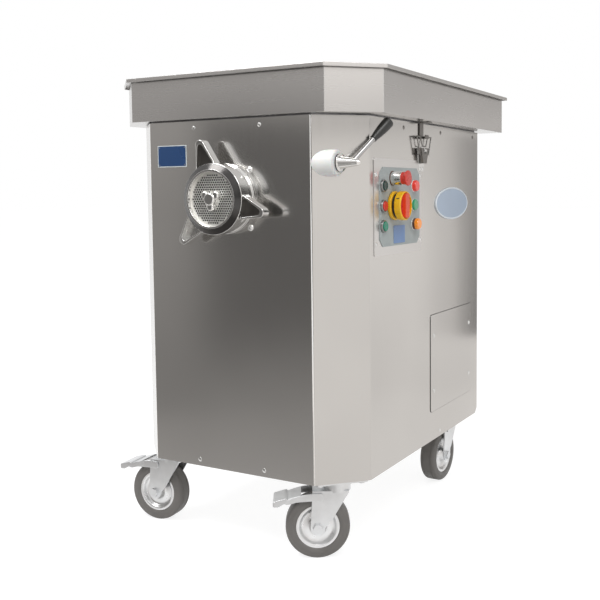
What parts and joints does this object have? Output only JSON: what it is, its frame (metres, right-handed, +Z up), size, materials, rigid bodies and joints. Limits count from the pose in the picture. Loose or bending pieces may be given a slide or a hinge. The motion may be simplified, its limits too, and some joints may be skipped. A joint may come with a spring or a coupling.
{
  "type": "meat grinder",
  "caption": "Free-standing meat grinder: steel cabinet on swivel castors with a feed tray on top, a grinding head in front and controls on the side.",
  "frame": {"origin": "on the floor, below the centre of the cabinet", "axes": "+Z up, -Y out of the front where the grinding head is, +X to the side with the controls"},
  "size_m": [0.6425, 0.8059, 0.938],
  "materials": {
    "cabinet_steel": "satin, fine grain",
    "tray_steel": "satin, fine grain",
    "frame_steel": "grey primer",
    "cast_housing": "machined",
    "polished_steel": "polished",
    "tool_steel": "ground",
    "fastener_steel": "bright",
    "bronze": "machined",
    "white_nylon": "satin",
    "black_plastic": "gloss",
    "frame_plate": "satin",
    "panel_grey": "satin",
    "red_plastic": "gloss",
    "green_plastic": "gloss",
    "orange_plastic": "gloss",
    "yellow_plastic": "satin",
    "blue_enamel": "satin",
    "pale_badge": "gloss",
    "gear_paint": "painted",
    "motor_paint": "painted",
    "latch_dark": "aged steel",
    "zinc_steel": "zinc plated",
    "rim_metal": "turned",
    "tyre_rubber": "grey rubber"
  },
  "bodies": {
    "root": {"base_plate": "cabinet_steel", "chassis": "frame_steel", "front_casing": "cabinet_steel", "right_panel": "cabinet_steel", "left_panel": "cabinet_steel", "rear_panel": "cabinet_steel", "service_cover": "cabinet_steel", "panel_fasteners": "fastener_steel", "tray": "tray_steel", "latch_fixings": "fastener_steel", "control_plate": "frame_plate", "control_panel": "panel_grey", "control_collars": "polished_steel", "lamp_red": "red_plastic", "lamp_green": "green_plastic", "lamp_orange": "orange_plastic", "switch_housing": "yellow_plastic", "info_plate": "blue_enamel", "rating_plate": "blue_enamel", "oval_badge": "pale_badge", "head_housing": "cast_housing", "barrel": "polished_steel", "hole_plate": "tool_steel", "worm_bush": "bronze", "lock_bush": "white_nylon", "gearbox": "gear_paint", "motor": "motor_paint", "cable_gland": "black_plastic", "castor_plates": "zinc_steel"},
    "feed_screw": {"worm": "tool_steel", "knife": "tool_steel", "shaft_nut": "polished_steel", "drive_shaft": "tool_steel"},
    "ring_nut": {"ring_nut": "polished_steel"},
    "head_lock": {"lock_shaft": "polished_steel", "lever_arm": "polished_steel", "lever_grip": "black_plastic"},
    "estop": {"estop_button": "red_plastic"},
    "black_push": {"black_button": "black_plastic"},
    "red_push": {"red_button": "red_plastic"},
    "green_push": {"green_button": "green_plastic"},
    "switch_knob": {"switch_knob": "red_plastic"},
    "latch_lever_right": {"latch_lever_right": "latch_dark"},
    "latch_bail_right": {"latch_bail_right": "polished_steel"},
    "latch_lever_left": {"latch_lever_left": "latch_dark"},
    "latch_bail_left": {"latch_bail_left": "polished_steel"},
    "castor_front_right": {"fork_front_right": "zinc_steel"},
    "wheel_front_right": {"rim_front_right": "rim_metal", "tyre_front_right": "tyre_rubber"},
    "castor_front_left": {"fork_front_left": "zinc_steel"},
    "wheel_front_left": {"rim_front_left": "rim_metal", "tyre_front_left": "tyre_rubber"},
    "castor_rear_right": {"fork_rear_right": "zinc_steel"},
    "wheel_rear_right": {"rim_rear_right": "rim_metal", "tyre_rear_right": "tyre_rubber"},
    "castor_rear_left": {"fork_rear_left": "zinc_steel"},
    "wheel_rear_left": {"rim_rear_left": "rim_metal", "tyre_rear_left": "tyre_rubber"},
    "pedal_right": {"pedal_right": "zinc_steel"},
    "pedal_left": {"pedal_left": "zinc_steel"}
  },
  "joints": [
    {"name": "worm_turn", "type": "hinge", "parent": "root", "child": "feed_screw", "pos_m": [0, -0.33, 0.695], "axis": [0, -1, 0], "continuous": true},
    {"name": "ring_nut_turn", "type": "hinge", "parent": "root", "child": "ring_nut", "pos_m": [0, -0.364, 0.695], "axis": [0, -1, 0], "continuous": true},
    {"name": "lock_turn", "type": "hinge", "parent": "root", "child": "head_lock", "pos_m": [0.25, -0.305, 0.76], "axis": [1, 0, 0], "range_deg": [-90, 0]},
    {"name": "estop_push", "type": "slide", "parent": "root", "child": "estop", "axis": [-1, 0, 0], "range_m": [0, 0.005], "stiffness_N_per_m": 500},
    {"name": "black_press", "type": "slide", "parent": "root", "child": "black_push", "axis": [-1, 0, 0], "range_m": [0, 0.003], "stiffness_N_per_m": 500},
    {"name": "red_press", "type": "slide", "parent": "root", "child": "red_push", "axis": [-1, 0, 0], "range_m": [0, 0.003], "stiffness_N_per_m": 500},
    {"name": "green_press", "type": "slide", "parent": "root", "child": "green_push", "axis": [-1, 0, 0], "range_m": [0, 0.003], "stiffness_N_per_m": 500},
    {"name": "switch_turn", "type": "hinge", "parent": "root", "child": "switch_knob", "pos_m": [0.285, -0.153, 0.679], "axis": [1, 0, 0], "range_deg": [0, 90]},
    {"name": "latch_open_right", "type": "hinge", "parent": "root", "child": "latch_lever_right", "pos_m": [0.278, -0.014, 0.792], "axis": [0, -1, 0], "range_deg": [0, 90]},
    {"name": "latch_hook_right", "type": "hinge", "parent": "latch_lever_right", "child": "latch_bail_right", "pos_m": [0.278, -0.014, 0.784], "axis": [0, -1, 0], "range_deg": [-76.5, 0]},
    {"name": "latch_open_left", "type": "hinge", "parent": "root", "child": "latch_lever_left", "pos_m": [-0.278, -0.014, 0.792], "axis": [0, 1, 0], "range_deg": [0, 90]},
    {"name": "latch_hook_left", "type": "hinge", "parent": "latch_lever_left", "child": "latch_bail_left", "pos_m": [-0.278, -0.014, 0.784], "axis": [0, 1, 0], "range_deg": [-76.5, 0]},
    {"name": "swivel_front_right", "type": "hinge", "parent": "root", "child": "castor_front_right", "pos_m": [0.2, -0.26, 0.14], "axis": [0, 0, 1], "continuous": true},
    {"name": "roll_front_right", "type": "hinge", "parent": "castor_front_right", "child": "wheel_front_right", "pos_m": [0.16763, -0.27991, 0.0625], "axis": [0.524, -0.8517, 0], "continuous": true},
    {"name": "swivel_front_left", "type": "hinge", "parent": "root", "child": "castor_front_left", "pos_m": [-0.2, -0.26, 0.14], "axis": [0, 0, 1], "continuous": true},
    {"name": "roll_front_left", "type": "hinge", "parent": "castor_front_left", "child": "wheel_front_left", "pos_m": [-0.23772, -0.26456, 0.0625], "axis": [0.1201, -0.9928, 0], "continuous": true},
    {"name": "swivel_rear_right", "type": "hinge", "parent": "root", "child": "castor_rear_right", "pos_m": [0.2, 0.286, 0.14], "axis": [0, 0, 1], "continuous": true},
    {"name": "roll_rear_right", "type": "hinge", "parent": "castor_rear_right", "child": "wheel_rear_right", "pos_m": [0.19834, 0.24804, 0.0625], "axis": [0.999, -0.0436, 0], "continuous": true},
    {"name": "swivel_rear_left", "type": "hinge", "parent": "root", "child": "castor_rear_left", "pos_m": [-0.2, 0.286, 0.14], "axis": [0, 0, 1], "continuous": true},
    {"name": "roll_rear_left", "type": "hinge", "parent": "castor_rear_left", "child": "wheel_rear_left", "pos_m": [-0.213, 0.25029, 0.0625], "axis": [0.9397, -0.342, 0], "continuous": true},
    {"name": "brake_right", "type": "hinge", "parent": "castor_front_right", "child": "pedal_right", "pos_m": [0.17104, -0.27782, 0.121], "axis": [0.524, -0.8517, 0], "range_deg": [0, 8]},
    {"name": "brake_left", "type": "hinge", "parent": "castor_front_left", "child": "pedal_left", "pos_m": [-0.23375, -0.26409, 0.121], "axis": [0.1201, -0.9928, 0], "range_deg": [0, 8]}
  ],
  "couplings": [
    {"joint": "latch_hook_right", "follows": "latch_open_right", "ratio": -0.85},
    {"joint": "latch_hook_left", "follows": "latch_open_left", "ratio": -0.85}
  ]
}
